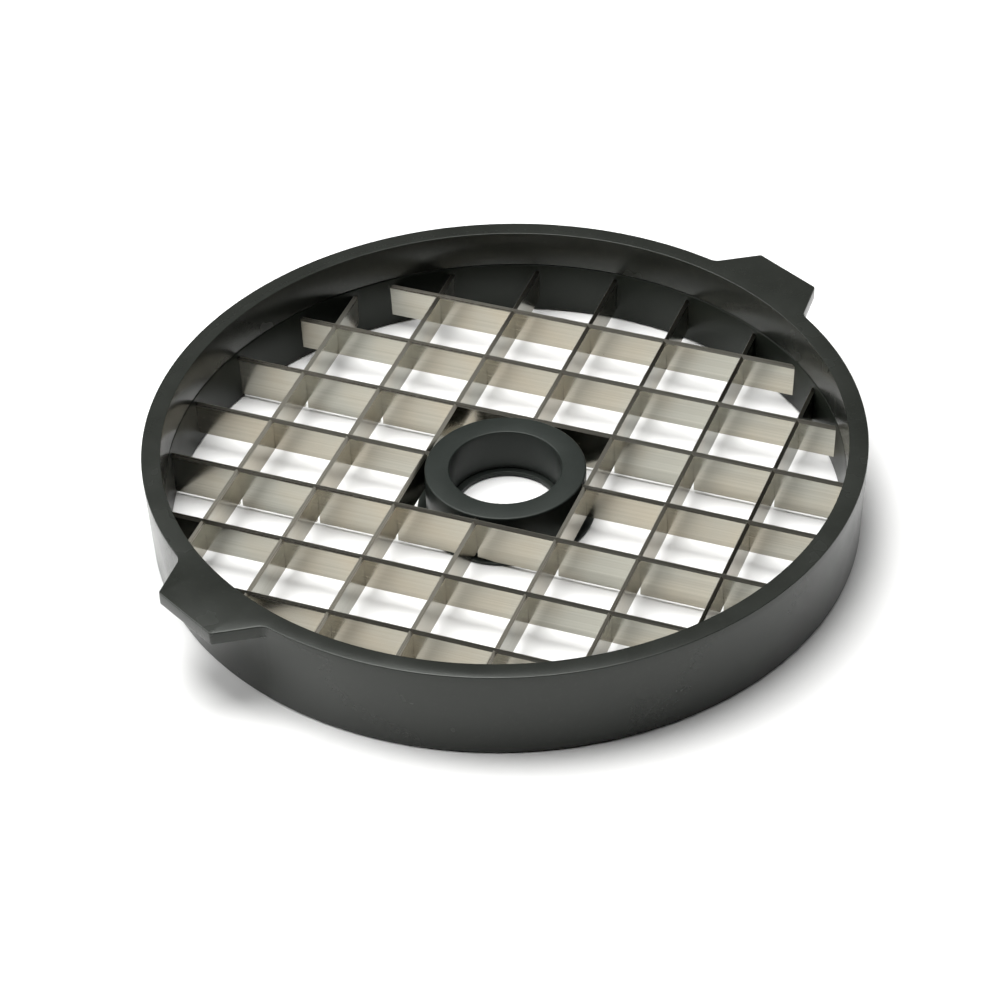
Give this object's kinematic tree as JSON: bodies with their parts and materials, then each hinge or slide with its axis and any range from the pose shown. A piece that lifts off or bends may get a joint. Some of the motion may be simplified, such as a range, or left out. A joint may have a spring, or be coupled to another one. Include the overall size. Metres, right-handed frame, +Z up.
{
  "type": "dicing grid for a food processor",
  "caption": "Round dicing grid: a dark moulded ring with two lugs holds crossing upright steel knives round a central hub with a bore for the drive shaft.",
  "frame": {"origin": "centre of the ring on the plane it stands on", "axes": "+Z up through the bore, cutting edges facing up; one set of knives runs along X, the other along Y"},
  "size_m": [0.2164, 0.2214, 0.0296],
  "materials": {
    "frame_plastic": "dark charcoal glass-filled plastic, fine moulded grain, satin",
    "seat_plastic": "dark charcoal moulded plastic, satin",
    "hub_plastic": "dark charcoal moulded plastic, satin",
    "knife_steel": "bright rolled stainless steel with fine lengthways grain"
  },
  "bodies": {
    "root": {"ring_frame": "frame_plastic", "blade_seat_ring": "seat_plastic", "hub_collar": "hub_plastic", "hub_base_ring": "hub_plastic", "knife_x_1": "knife_steel", "knife_x_2": "knife_steel", "knife_x_3": "knife_steel", "knife_x_4_low_half": "knife_steel", "knife_x_4_high_half": "knife_steel", "knife_x_5": "knife_steel", "knife_x_6": "knife_steel", "knife_x_7": "knife_steel", "knife_y_1": "knife_steel", "knife_y_2": "knife_steel", "knife_y_3": "knife_steel", "knife_y_4_low_half": "knife_steel", "knife_y_4_high_half": "knife_steel", "knife_y_5": "knife_steel", "knife_y_6": "knife_steel", "knife_y_7": "knife_steel"}
  },
  "joints": []
}
